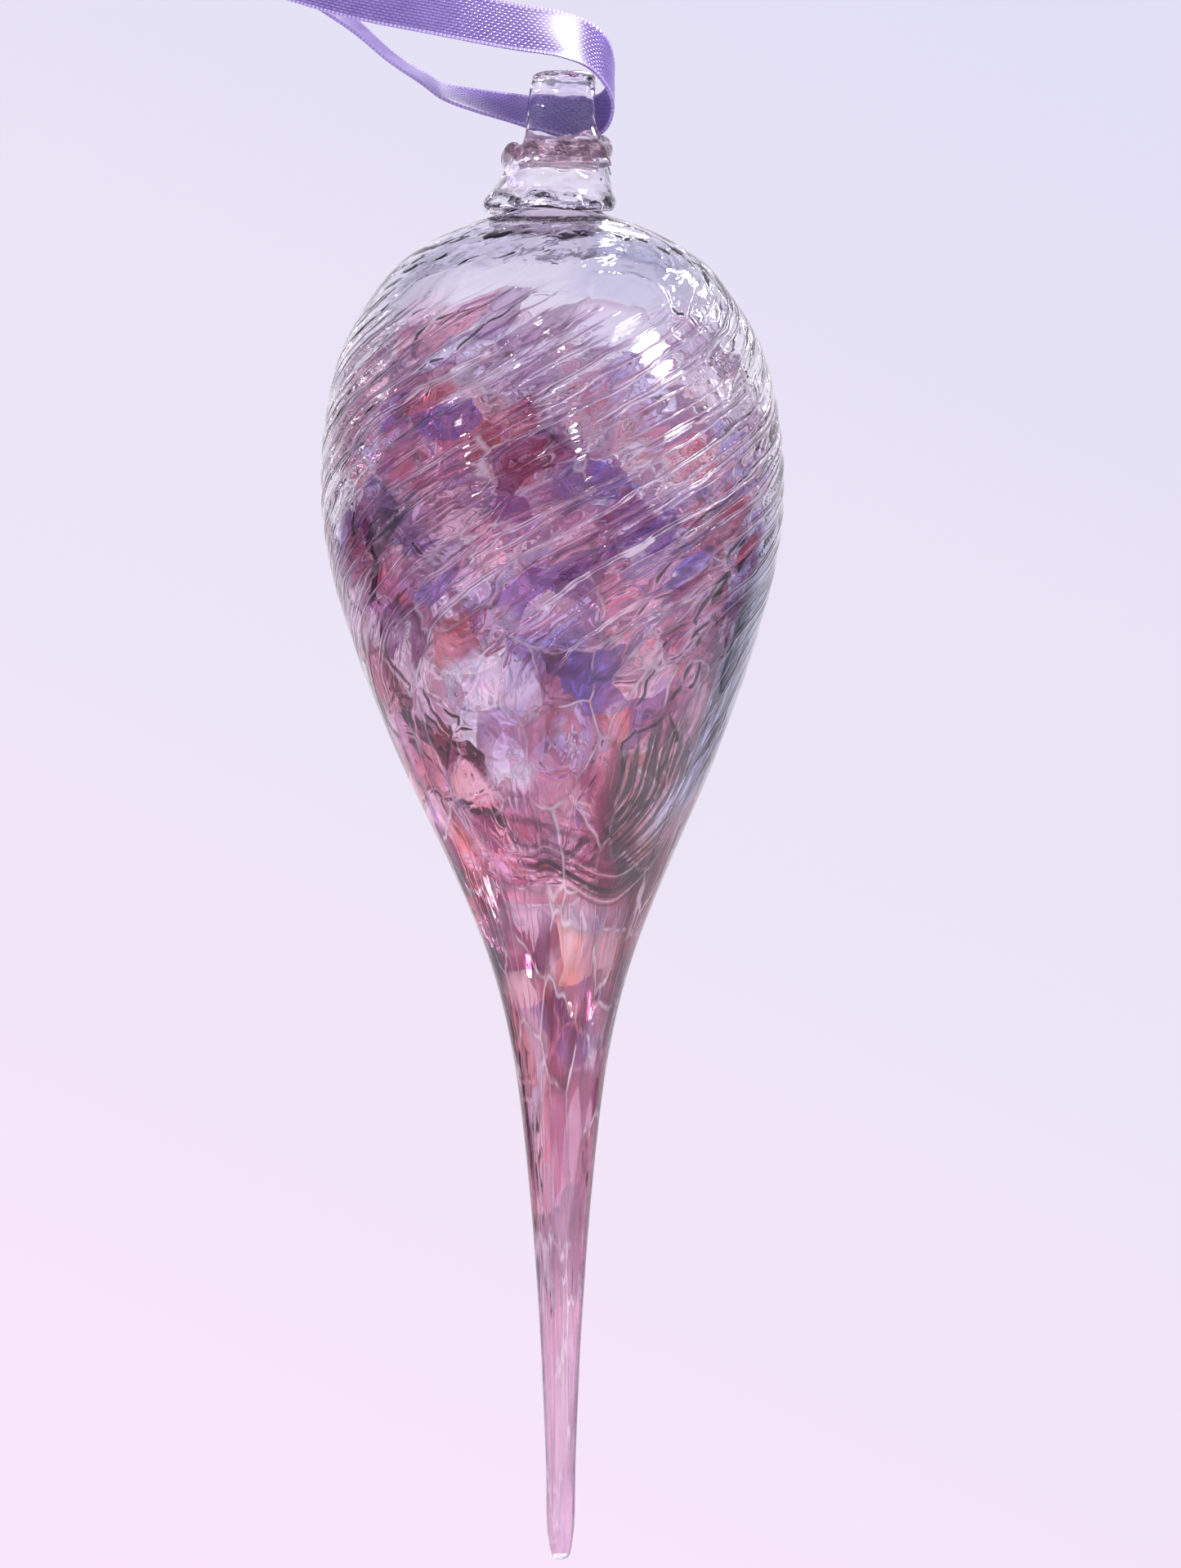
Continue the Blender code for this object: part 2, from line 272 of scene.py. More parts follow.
# ---------------------------------------------------------------- material nodes


class Nodes:
    """Short calls for building the node tree of a material, or of the world."""

    def __init__(self, owner, output="OutputMaterial"):
        self.owner = owner
        owner.use_nodes = True
        self.tree = owner.node_tree
        self.tree.nodes.clear()
        self.output = self.tree.nodes.new("ShaderNode" + output)

    def add(self, kind, inputs=None, **settings):
        node = self.tree.nodes.new("ShaderNode" + kind)
        for key, value in settings.items():
            setattr(node, key, value)
        for key, value in (inputs or {}).items():
            self.set(node.inputs[key], value)
        return node

    def set(self, socket, value):
        if isinstance(value, bpy.types.NodeSocket):
            self.tree.links.new(value, socket)
        else:
            socket.default_value = value

    def math(self, operation, first, *others):
        """One sum, or a chain of the same sum over several numbers."""
        for other in others or (0.0,):
            node = self.add("Math", operation=operation)
            self.set(node.inputs[0], first)
            self.set(node.inputs[1], other)
            first = node.outputs[0]
        return first

    def times(self, *factors):
        return self.math("MULTIPLY", *factors)

    def plus(self, *terms):
        return self.math("ADD", *terms)

    def ridge(self, value):
        """0 at each whole number and 1 halfway between."""
        return self.math("ABSOLUTE", self.math("SINE", self.times(value, math.pi)))

    def attribute(self, name):
        return self.add("Attribute", attribute_name=name).outputs["Vector"]

    def parts(self, vector):
        return self.add("SeparateXYZ", {"Vector": vector}).outputs

    def scaled(self, vector, by):
        """The vector times a number, or times three."""
        scale = by if isinstance(by, tuple) else (by, by, by)
        node = self.add("VectorMath", {0: vector, 1: scale}, operation="MULTIPLY")
        return node.outputs[0]

    def noise(self, vector, scale, detail=2.0, roughness=0.5, output="Fac"):
        inputs = {"Vector": vector, "Scale": scale, "Detail": detail, "Roughness": roughness}
        return self.add("TexNoise", inputs).outputs[output]

    def warped(self, vector, scale, by):
        """The vector pushed about by noise."""
        around = self.noise(vector, scale, output="Color")
        centred = self.add("VectorMath", {0: around, 1: (0.5, 0.5, 0.5)}, operation="SUBTRACT")
        push = self.scaled(centred.outputs[0], by)
        return self.add("VectorMath", {0: vector, 1: push}, operation="ADD").outputs[0]

    def cell_values(self, vector, scale):
        """Three numbers from 0 to 1 that are the same all over a cell."""
        node = self.add("TexVoronoi", {"Vector": vector, "Scale": scale})
        return self.parts(node.outputs["Color"])

    def cell_edge(self, vector):
        """Distance to the nearest edge of a cell."""
        node = self.add("TexVoronoi", {"Vector": vector, "Scale": 1.0}, feature="DISTANCE_TO_EDGE")
        return node.outputs["Distance"]

    def ramp(self, value, stops, interpolation="LINEAR"):
        """Colours or grey levels at positions from 0 to 1."""
        node = self.add("ValToRGB", {"Fac": value})
        node.color_ramp.interpolation = interpolation
        elements = node.color_ramp.elements
        while len(elements) < len(stops):
            elements.new(0.5)
        for element, (position, colour) in zip(elements, stops):
            element.position = position
            rgb = colour if isinstance(colour, tuple) else (colour,) * 3
            element.color = (*rgb, 1)
        return node.outputs["Color"]

    def mix(self, factor, a, b, blend="MIX"):
        node = self.add("Mix", data_type="RGBA", blend_type=blend)
        self.set(node.inputs["Factor"], factor)
        for socket, value in ((node.inputs[6], a), (node.inputs[7], b)):
            self.set(socket, (*value, 1) if isinstance(value, tuple) else value)
        return node.outputs[2]

    def bump(self, height, distance):
        return self.add("Bump", {"Height": height, "Distance": distance}).outputs["Normal"]

    def finish(self, shader):
        self.tree.links.new(shader, self.output.inputs["Surface"])
        return self.owner

    def finish_glass(self, tint, height, distance):
        """Fire-polished glass with a tint, and a height that bends its surface."""
        inputs = {
            "Base Color": tint,
            "Roughness": 0.0,
            "IOR": GLASS_IOR,
            "Transmission Weight": 1.0,
            "Normal": self.bump(height, distance),
        }
        return self.finish(self.add("BsdfPrincipled", inputs).outputs[0])


def material_nodes(name):
    return Nodes(bpy.data.materials.new(name))


# Light that one layer of each colour of frit lets through
ROSE = (0.88, 0.44, 0.54)
DEEP_ROSE = (0.50, 0.11, 0.24)
SALMON = (0.98, 0.58, 0.53)
PLUM = (0.24, 0.09, 0.27)
VIOLET = (0.40, 0.34, 0.74)
SLATE = (0.74, 0.80, 0.95)
LILAC = (0.96, 0.91, 0.99)
PINK = (0.99, 0.82, 0.89)
TIP_PINK = (1.0, 0.80, 0.94)
MAUVE = (0.76, 0.53, 0.62)
# pale frit of the veins, and the colour of the painted highlight lines along the ribs and the
# bubble's floor
VEIN_AND_HIGHLIGHT = (1.0, 0.96, 0.99)
SMOKE = (0.04, 0.06, 0.055)
# painted shade: the dark lines along the edge of the bubble's floor
SWIRL = (0.07, 0.03, 0.04)
CHIP_PALETTE = [(0.0, PLUM), (0.3, ROSE), (0.55, VIOLET), (0.75, SALMON), (1.0, SLATE)]
# tint of the clear glass, and the colour of a painted reflection on the right side
GREY_BLUE = (0.66, 0.69, 0.80)
GLASS_IOR = 1.47


def rib_wave(n, count):
    """0 between the ribs and 1 on their crests, which climb to the right and wander."""
    twisted = n.attribute("twisted")
    split = n.parts(twisted)
    around = n.math("ARCTAN2", split["Y"], split["X"])
    wander = n.times(n.noise(twisted, 0.9, 3.0, 0.55), 9.0)
    phase = n.plus(n.times(around, float(count)), wander)
    return n.plus(n.times(n.math("COSINE", phase), 0.5), 0.5)


def rib_lines(n):
    """Narrow lines along the crests of two sets of ribs, broken here and there."""
    first = n.math("POWER", rib_wave(n, RIB_COUNT), 22.0)
    second = n.math("POWER", rib_wave(n, FINE_RIB_COUNT), 40.0)
    lines = n.plus(first, n.times(second, 0.8))
    shown = n.ramp(n.noise(n.attribute("twisted"), 0.7), [(0.40, 0.10), (0.58, 1.0)])
    present = n.parts(n.attribute("ribbed"))["X"]
    return n.times(lines, shown, present)


def bulb_glass():
    """Colourless casing: soft wrinkles, thin twisted lines with painted shade along them, and
    facets near the neck.
    """
    n = material_nodes("bulb_glass")
    twisted = n.attribute("twisted")
    broad = n.noise(twisted, 0.8, roughness=0.45)
    wrinkles = n.plus(broad, n.times(n.noise(twisted, 2.6), 0.11))
    lines = rib_lines(n)
    near_top = n.parts(n.attribute("ribbed"))["Y"]
    facets = n.noise(n.warped(twisted, 1.0, 0.6), 1.9, roughness=0.4)
    facets = n.times(facets, near_top, 1.2)
    height = n.plus(n.times(wrinkles, 0.8), n.times(lines, 0.8), facets)
    # painted shade: the glass is tinted darker beside the crest of each rib line, standing for the
    # dark line its refraction shows
    rib_shade_tints = [(0.0, (0.975, 0.965, 0.985)), (0.5, (0.90, 0.84, 0.90)), (1.0, (1.0, 1.0, 1.0))]
    return n.finish_glass(n.ramp(lines, rib_shade_tints), height, 0.32 * MM)


def eye_glass():
    """Clear glass of the eye, with a crumpled pink-brown seam where it was pressed on."""
    n = material_nodes("eye_glass")
    flow = n.attribute("flow")
    place = n.parts(flow)["Z"]
    ragged = n.times(n.noise(flow, 0.7, 3.0, 0.6), 1.1)
    level = n.plus(place, ragged, 2.62)
    seam = n.ramp(level, [(0.0, 0.0), (0.06, 1.0), (0.75, 1.0), (1.0, 0.0)])
    foot = n.ramp(n.plus(place, 5.6), [(0.0, 1.0), (1.0, 0.35)])
    crumple = n.times(n.noise(flow, 2.7, 4.0, 0.62), seam, 2.6)
    soft = n.times(n.noise(flow, 0.8), foot, 2.2)
    height = n.plus(crumple, soft)
    blotch = n.noise(flow, 1.6, 3.0, 0.6)
    seam_colours = [
        (0.42, (0.06, 0.02, 0.04)),
        (0.50, (0.30, 0.13, 0.18)),
        (0.59, (0.72, 0.48, 0.58)),
        (0.69, (0.95, 0.88, 0.93)),
    ]
    casts = [(0.40, (0.98, 0.96, 0.99)), (0.62, (0.80, 0.78, 0.93))]
    cast = n.ramp(n.noise(flow, 0.55), casts)
    smear = n.noise(n.scaled(flow, (0.5, 0.5, 1.8)), 1.2, 3.0)
    smear = n.times(n.ramp(smear, [(0.55, 0.0), (0.63, 0.85)]), foot)
    cast = n.mix(smear, cast, (0.30, 0.24, 0.32))
    tint = n.mix(seam, cast, n.ramp(blotch, seam_colours))
    return n.finish_glass(tint, height, 0.50 * MM)


def bubble_wall():
    """The bubble's side of the glass, lumpy over each chip of colour and creased between them."""
    n = material_nodes("bubble_wall")
    flow = n.attribute("flow")
    placed = n.warped(flow, 0.9, 0.8)
    crease = n.ramp(n.cell_edge(placed), [(0.0, 0.0), (0.10, 0.55), (0.35, 1.0)], "EASE")
    zone = n.parts(n.attribute("zone"))
    height = n.times(n.plus(n.times(crease, 0.6), n.noise(placed, 1.3)), zone["X"])
    # painted shade: dark rings swirl round the bubble's floor, standing for the dark edges of the
    # floor
    wander = n.times(n.noise(flow, 0.9, 3.0), 0.30)
    level = n.plus(zone["Y"], wander, -0.15)
    rings = [
        (0.00, (0.985, 0.97, 0.99)),
        (0.44, (0.98, 0.94, 0.96)),
        (0.50, (0.22, 0.17, 0.18)),
        (0.55, (0.95, 0.86, 0.90)),
        (0.66, (0.90, 0.74, 0.76)),
        (0.71, (0.12, 0.10, 0.10)),
        (0.76, (0.92, 0.80, 0.84)),
        (0.84, (0.45, 0.34, 0.38)),
        (1.00, (0.80, 0.66, 0.72)),
    ]
    return n.finish_glass(n.ramp(level, rings), height, 0.60 * MM)


def cell_colours(n, pick, warmth, violet):
    """A colour for each cell: cool above, warm below, with a violet drift."""
    cool_levels = (0.00, 0.12, 0.24, 0.36, 0.46, 0.56, 0.68, 0.78, 0.88, 1.00)
    cool = (PLUM, DEEP_ROSE, LILAC, ROSE, PLUM, VIOLET, LILAC, DEEP_ROSE, SLATE, ROSE)
    warm_levels = (0.00, 0.20, 0.36, 0.52, 0.66, 0.82, 1.00)
    warm = (ROSE, SALMON, MAUVE, PINK, DEEP_ROSE, SALMON, LILAC)
    violet_palette = [(0.0, PLUM), (0.3, VIOLET), (0.5, SLATE), (0.75, VIOLET), (1.0, LILAC)]
    cool = n.ramp(pick["X"], list(zip(cool_levels, cool)))
    warm = n.ramp(pick["Y"], list(zip(warm_levels, warm)))
    return n.mix(violet, n.mix(warmth, cool, warm), n.ramp(pick["Y"], violet_palette))


def streak_lines(n):
    """Painted shade and highlights: dark and pale lines along the edge of the bubble's floor, and
    smoke along the same flow.
    """
    streak = n.parts(n.attribute("streak"))
    wander = n.times(n.noise(n.attribute("flow"), 1.1), 0.10)
    across = n.plus(streak["X"], wander, -0.05)
    dark = n.times(n.ramp(across, SWIRL_DARK), streak["Y"])
    pale = n.times(n.ramp(across, SWIRL_PALE), streak["Y"])
    levels = [(0.38, 0.35), (0.46, 0.5), (0.49, 1.0), (0.62, 0.9), (0.66, 0.3)]
    smoke = n.ramp(n.noise(n.attribute("smoke"), 1.0, 3.0, 0.55), levels)
    return dark, pale, n.times(smoke, streak["Z"])


def frit_cells(n):
    """Place among the cells of colour, pushed about by the ribs and by the glass's own flow."""
    flow = n.attribute("flow")
    flute = n.times(rib_wave(n, RIB_COUNT), n.parts(n.attribute("ribbed"))["X"], 0.22)
    flute = n.add("CombineXYZ", {"X": flute, "Y": flute, "Z": flute}).outputs[0]
    fluted = n.add("VectorMath", {0: flow, 1: flute}).outputs[0]
    return n.warped(n.warped(fluted, 0.7, 0.6), 1.9, 0.16)


def frit_tones(n, placed, pick, warmth):
    """The colour of each cell, with a sparser layer of chips over it and pale drifts."""
    ribbed = n.parts(n.attribute("ribbed"))
    colour = cell_colours(n, pick, warmth, n.parts(n.attribute("shade"))["Y"])
    chips = n.cell_values(n.warped(n.attribute("flow"), 1.0, 0.6), 1.3)
    shown = n.ramp(chips["X"], [(0.60, 0.0), (0.62, 1.0)])
    over = n.mix(1.0, colour, n.ramp(chips["Y"], CHIP_PALETTE), "MULTIPLY")
    colour = n.mix(shown, colour, over)
    cloud = n.ramp(n.noise(placed, 1.3), [(0.52, 0.0), (0.66, 0.5)])
    colour = n.mix(cloud, colour, LILAC)
    colour = n.mix(ribbed["Y"], colour, TIP_PINK)
    return n.mix(ribbed["Z"], colour, n.mix(pick["X"], SLATE, PINK))


def frit_colour():
    """Crushed colour melted into the glass: cells of rose, plum and violet, with pale veins along
    their edges that are partly painted highlights.
    """
    n = material_nodes("frit_colour")
    zone = n.parts(n.attribute("zone"))
    strength, warmth = zone["X"], zone["Y"]
    placed = frit_cells(n)
    pick = n.cell_values(placed, 1.0)
    colour = frit_tones(n, placed, pick, warmth)
    # chips of colour are missing where the layer thins out
    cover = n.plus(n.times(strength, 1.5), n.times(pick["Z"], -0.5))
    cover = n.ramp(cover, [(0.24, 0.0), (0.55, 1.0)])
    edge = n.cell_edge(placed)
    broken = n.ramp(n.noise(n.attribute("flow"), 1.5), [(0.42, 0.0), (0.56, 1.0)])
    # pale veins along the cell edges, partly painted highlights of the raised edges
    vein_and_highlight = n.ramp(edge, [(0.0, 1.0), (0.013, 0.85), (0.038, 0.0)])
    vein_and_highlight = n.times(vein_and_highlight, broken, n.plus(n.times(warmth, 0.7), 0.3))
    rim = n.ramp(edge, [(0.0, 0.66), (0.05, 0.82), (0.13, 1.0)])
    # the clear glass is tinted grey-blue; on the right side this is a painted reflection
    clear = n.mix(n.parts(n.attribute("shade"))["X"], (1.0, 1.0, 1.0), GREY_BLUE)
    tint = n.mix(cover, clear, n.mix(1.0, colour, rim, "MULTIPLY"))
    # painted shade and highlight: each rib gets a dark line on the colour, with a painted bright
    # line along its middle
    lines = rib_lines(n)
    tint = n.mix(n.ramp(lines, [(0.10, 0.0), (0.30, 0.7), (0.55, 0.0)]), tint, PLUM)
    bright = n.math("MAXIMUM", vein_and_highlight, n.ramp(lines, [(0.50, 0.0), (0.72, 1.0)]))
    dark, pale, smoke = streak_lines(n)
    bright = n.times(bright, n.math("SUBTRACT", 1.0, smoke))
    # painted highlights: pale lines along the edge of the bubble's floor
    bright = n.math("MAXIMUM", bright, pale)
    tint = n.mix(n.times(bright, 0.9), tint, VEIN_AND_HIGHLIGHT)
    # painted shade: dark lines along the edge of the bubble's floor
    tint = n.mix(dark, tint, SWIRL)
    tint = n.mix(smoke, tint, SMOKE)
    film = n.add("BsdfTransparent", {"Color": tint})
    # the scattering part turns pale along the veins and along the painted highlight lines
    milk_and_highlight = n.mix(bright, colour, VEIN_AND_HIGHLIGHT)
    body = n.add("BsdfTranslucent", {"Color": milk_and_highlight})
    front = n.add("BsdfDiffuse", {"Color": milk_and_highlight})
    milk = n.add("MixShader", {0: 0.5, 1: body.outputs[0], 2: front.outputs[0]})
    amount = n.times(n.plus(n.times(bright, 0.5), 0.05), cover)
    mixed = n.add("MixShader", {0: amount, 1: film.outputs[0], 2: milk.outputs[0]})
    return n.finish(mixed.outputs[0])


def satin():
    """Woven satin: rows of short floats, looped selvedges and a strong sheen."""
    n = material_nodes("satin")
    weave = n.parts(n.attribute("weave"))
    across, along = weave["X"], weave["Y"]
    row = n.math("DIVIDE", across, FLOAT_WIDTH)
    offset = n.times(n.math("FLOOR", row), 0.5)
    place = n.plus(n.math("DIVIDE", along, FLOAT_LENGTH), offset)
    row_round = n.math("POWER", n.ridge(row), 0.6)
    float_round = n.math("POWER", n.ridge(place), 0.5)
    loops = n.ridge(n.math("DIVIDE", along, LOOP_LENGTH))
    selvedge = n.math("GREATER_THAN", n.math("ABSOLUTE", across), SELVEDGE_BEGINS)
    height = n.mix(selvedge, n.times(row_round, float_round), loops)
    patchy = n.noise(n.attribute("weave"), 0.30, 3.0, 0.6)
    colour = n.ramp(patchy, [(0.25, (0.125, 0.078, 0.300)), (0.75, (0.200, 0.132, 0.420))])
    # painted shade: the colour is darker in the grooves between the floats, so the floats stand
    # out as if lit
    groove_shade = n.ramp(height, [(0.0, 0.38), (0.50, 0.90), (1.0, 1.0)])
    colour = n.mix(1.0, colour, groove_shade, "MULTIPLY")
    colour = n.mix(n.times(selvedge, 0.35), colour, (0.72, 0.62, 0.92))
    shader = n.add(
        "BsdfPrincipled",
        {
            "Base Color": colour,
            "Roughness": 0.27,
            "Sheen Weight": 0.15,
            "Sheen Roughness": 0.4,
            "Sheen Tint": (0.88, 0.80, 1.0, 1),
            "Specular IOR Level": 1.0,
            "Coat Weight": 0.4,
            "Coat Roughness": 0.24,
            "Specular Tint": (0.95, 0.90, 1.0, 1),
            "Normal": n.bump(height, 0.10 * MM),
        },
    )
    glows = [(0.0, (0.26, 0.16, 0.52)), (0.5, (0.52, 0.36, 0.90)), (1.0, (0.70, 0.54, 1.0))]
    glow = n.ramp(height, glows)
    back = n.add("BsdfTranslucent", {"Color": glow})
    mixed = n.add("MixShader", {0: 0.28, 1: shader.outputs[0], 2: back.outputs[0]})
    return n.finish(mixed.outputs[0])


# ---------------------------------------------------------------- glass form


def outer_profile():
    """Depths and radii of the outer glass, from the neck's lip to the tip."""
    points = [(r * BULB_RADIUS, d * OVERALL_LENGTH) for r, d in OUTLINE]
    line = catmull_rom(points, 12)
    return np.array([p.y for p in line]), np.array([p.x for p in line])


OUTER_DEPTHS, OUTER_RADII = outer_profile()


def outer_radius(depth):
    return np.interp(depth, OUTER_DEPTHS, OUTER_RADII)


def cavity_profile():
    """Depths and radii of the bubble, from the neck to its rounded floor."""
    slope = np.gradient(OUTER_RADII, OUTER_DEPTHS)
    tilt = 1 / np.sqrt(1 + slope**2)
    depths = OUTER_DEPTHS + WALL * slope * tilt
    radii = OUTER_RADII - WALL * tilt
    keep = (depths < CAVITY_LEAVES_WALL) & (radii > 2.5 * MM)
    wall = list(zip(radii[keep], depths[keep]))
    wall = [p for i, p in enumerate(wall) if i == 0 or p[1] > wall[i - 1][1]]
    bottom = [(r * MM, d * MM) for r, d in CAVITY_BOTTOM]
    return [*wall, *bottom]


def turn_angle(depth):
    """How far the hot glass was twisted at a depth, in radians."""
    steps = np.linspace(0, TIP_DEPTH, 400)
    rate = TWIST_BULB + (TWIST_TAIL - TWIST_BULB) * smoothstep(62 * MM, 92 * MM, steps)
    total = np.concatenate([[0], np.cumsum((rate[1:] + rate[:-1]) / 2 * np.diff(steps))])
    return -np.interp(depth, steps, total)


def flow_coordinates(angle, depth, radius, twist_share):
    """Where a point lay in the glass before it was twisted and drawn out, in cells of colour."""
    wide = np.interp(depth / MM, CELL_WIDE_AT, CELL_WIDE) * MM
    steps = np.linspace(0, TIP_DEPTH, 400)
    long = np.interp(steps / MM, CELL_LONG_AT, CELL_LONG) * MM
    travelled = np.concatenate([[0], np.cumsum(np.diff(steps) / long[1:])])
    around = angle - twist_share * turn_angle(depth)
    reach = radius / wide
    along = np.interp(depth, steps, travelled)
    return columns(reach * np.cos(around), reach * np.sin(around), along)


def rib_presence(depth):
    """Share of the ribs' full height. They fade out on the shoulder and along the tail."""
    return smoothstep(24 * MM, 38 * MM, depth) * (1 - 0.85 * smoothstep(60 * MM, 84 * MM, depth))


def rib_offset(angle, depth):
    """How far the twisted ribs stand out of the smooth outline."""
    around = angle - turn_angle(depth)
    wander = 0.9 * np.sin(3 * around + 70 * depth) + 0.6 * np.sin(5 * around - 110 * depth + 1.3)
    phase = RIB_COUNT * around + wander
    crest = (0.5 + 0.5 * np.cos(phase)) ** 2.2
    second = (0.5 + 0.5 * np.cos(0.5 * phase + 2.0)) ** 3
    present = rib_presence(depth) * (1 - smoothstep(100 * MM, 125 * MM, depth))
    swell = 0.65 + 0.35 * np.sin(2 * around + 40 * depth)
    return RIB_HEIGHT * present * swell * (crest + 0.5 * second - 0.6)


def lean(depth):
    """How far to the right of the bulb's axis the glass lies."""
    return TAIL_ASIDE * smoothstep(55 * MM, 120 * MM, depth)


def bulb_rows():
    """Depths of the mesh's rows, closer together along the bulb than along the tail."""
    top = OUTER_DEPTHS[0]
    end = OUTER_DEPTHS[-1]
    bulb = np.linspace(top, BULB_END, round((BULB_END - top) / ROW_HEIGHT_BULB))
    tail = np.linspace(BULB_END, end, round((end - BULB_END) / ROW_HEIGHT_TAIL))
    return np.concatenate([bulb, tail[1:]])


def turned_points(radius, angle, depth, shift):
    """Points at a radius, angle and depth, flattened to rows of x, y, z."""
    spots = [radius * np.cos(angle) + shift, radius * np.sin(angle), -depth]
    return np.stack(spots, -1).reshape(-1, 3)


def outer_rows():
    """Depth and smooth radius of each ring of the outside, down to the rounded tip."""
    depths = bulb_rows()
    radii = outer_radius(depths)
    steps = np.array([0.35, 0.65, 0.88, 0.97]) * math.pi / 2
    tip_radii = OUTER_RADII[-1] * np.cos(steps)
    tip_depths = OUTER_DEPTHS[-1] + (TIP_DEPTH - OUTER_DEPTHS[-1]) * np.sin(steps)
    return np.concatenate([depths, tip_depths]), np.concatenate([radii, tip_radii])


def bubble_rows():
    """Depth and smooth radius of each ring of the bubble, evenly spaced along its side."""
    line = cavity_profile()
    radii = np.array([p[0] for p in line])
    depths = np.array([p[1] for p in line])
    travelled = np.concatenate([[0], np.cumsum(np.hypot(np.diff(radii), np.diff(depths)))])
    even = np.linspace(0, travelled[-1], BUBBLE_ROWS)[:-1]
    return np.interp(even, travelled, depths), np.interp(even, travelled, radii)


def bubble_points(angle, depth, radius):
    """The bubble's skin. Its floor slumps to the left in a wave, as the tail was drawn off it."""
    ripple = 1.1 * rib_offset(angle + 0.11, depth) * smoothstep(0, 8 * MM, radius)
    fold = smoothstep(82 * MM, 102 * MM, depth)
    shift = lean(depth) - FLOOR_ASIDE * fold
    share = radius / (15 * MM)
    wave = 3.2 * np.cos(angle) + 1.6 * np.cos(2 * angle + 1.0) + 0.7 * np.sin(3 * angle)
    return turned_points(radius + ripple, angle, depth + fold * share * wave * MM, shift)


def air_bubbles():
    """Pin-head bubbles trapped in the wall, as inward-facing balls."""
    points, faces = [], []
    random = np.random.default_rng(7)
    for _ in range(46):
        depth = random.uniform(19 * MM, 90 * MM)
        angle = random.uniform(0, 2 * math.pi)
        radius = outer_radius(depth) - random.uniform(0.8, 2.2) * MM
        size = random.uniform(0.12, 0.34) * MM
        centre = Vector((radius * math.cos(angle), radius * math.sin(angle), -depth))
        ball = bmesh.new()
        bmesh.ops.create_icosphere(ball, subdivisions=2, radius=size)
        first = len(points)
        points += [centre + v.co for v in ball.verts]
        faces += [tuple(first + v.index for v in reversed(f.verts)) for f in ball.faces]
        ball.free()
    return np.array(points), faces


def fan(ring_first, around, centre, flip=False):
    """Triangles from a ring to a point in its middle."""
    faces = []
    for j in range(around):
        a, b = ring_first + j, ring_first + (j + 1) % around
        faces.append((b, centre, a) if flip else (a, centre, b))
    return faces


def ring_places(depths, radii, around):
    """Angle, depth and smooth radius of every point on a stack of rings."""
    angles = np.linspace(0, 2 * math.pi, around, endpoint=False)
    z, a = np.meshgrid(depths, angles, indexing="ij")
    return a, z, np.broadcast_to(radii[:, None], z.shape)


def axis_place(depth):
    """Angle, depth and radius of one point on the axis."""
    return np.zeros(1), np.full(1, depth), np.zeros(1)


def outer_skin():
    """Points, places and faces of the ribbed outside, closed at its tip."""
    a, z, smooth = ring_places(*outer_rows(), AROUND)
    points = turned_points(smooth + rib_offset(a, z), a, z, lean(z))
    tip = np.array([[lean(TIP_DEPTH), 0, -TIP_DEPTH]])
    faces = ring_faces(len(z), AROUND)
    faces += fan(z.size - AROUND, AROUND, z.size)
    return [points, tip], [(a, z, smooth), axis_place(TIP_DEPTH)], faces


def bubble_skin(first):
    """Points, places and faces of the bubble's wall, closed at its floor."""
    a, z, smooth = ring_places(*bubble_rows(), AROUND)
    bottom = axis_place(CAVITY_DEPTH)
    middle = first + z.size
    faces = ring_faces(len(z), AROUND, first, flip=True)
    faces += fan(middle - AROUND, AROUND, middle, flip=True)
    points = [bubble_points(a, z, smooth), bubble_points(*bottom)]
    return points, [(a, z, smooth), bottom], faces


def glass_body(outside_look, bubble_look):
    """One closed skin: the ribbed outside, the lip of the neck and the bubble's wall."""
    points, places, faces = outer_skin()
    first = sum(len(p) for p in points)
    wall_points, wall_places, wall_faces = bubble_skin(first)
    after = first + sum(len(p) for p in wall_points)
    faces += wall_faces
    for j in range(AROUND):
        k = (j + 1) % AROUND
        faces.append((j, k, first + k, first + j))
    balls, ball_faces = air_bubbles()
    faces += [tuple(after + i for i in face) for face in ball_faces]
    ball_depths = -balls[:, 2]
    ball_angles = np.arctan2(balls[:, 1], balls[:, 0])
    places += [*wall_places, (ball_angles, ball_depths, outer_radius(ball_depths))]
    points = np.concatenate([*points, *wall_points, balls])
    made = new_mesh("glass_bulb", points, faces, outside_look)
    made.data.materials.append(bubble_look)
    for polygon in made.data.polygons:
        if first <= max(polygon.vertices) < after:
            polygon.material_index = 1
    angle, depth, radius = (np.concatenate([p[i].ravel() for p in places]) for i in range(3))
    store(made, "flow", flow_coordinates(angle, depth, radius, COLOUR_TWIST))
    store(made, "twisted", flow_coordinates(angle, depth, radius, 1.0))
    floor_level = np.clip((depth - 90 * MM) / (15 * MM), 0, 1)
    store(made, "zone", columns(colour_strength(angle, depth), floor_level))
    near_top = 1 - smoothstep(21 * MM, 33 * MM, depth)
    store(made, "ribbed", columns(rib_presence(depth), near_top))
    return made


def patch(angle, depth, at_degrees, at_depth, wide, tall):
    """1 inside an oval on the glass, in degrees round and metres down, and 0 outside."""
    off = np.abs((np.degrees(angle) - at_degrees + 180) % 360 - 180) / wide
    return 1 - smoothstep(0.7, 1.2, np.hypot(off, (depth - at_depth) / tall))


def patches(angle, depth, *places):
    """The sum of several patches. Each starts with its strength."""
    return sum(strength * patch(angle, depth, *place) for strength, *place in places)


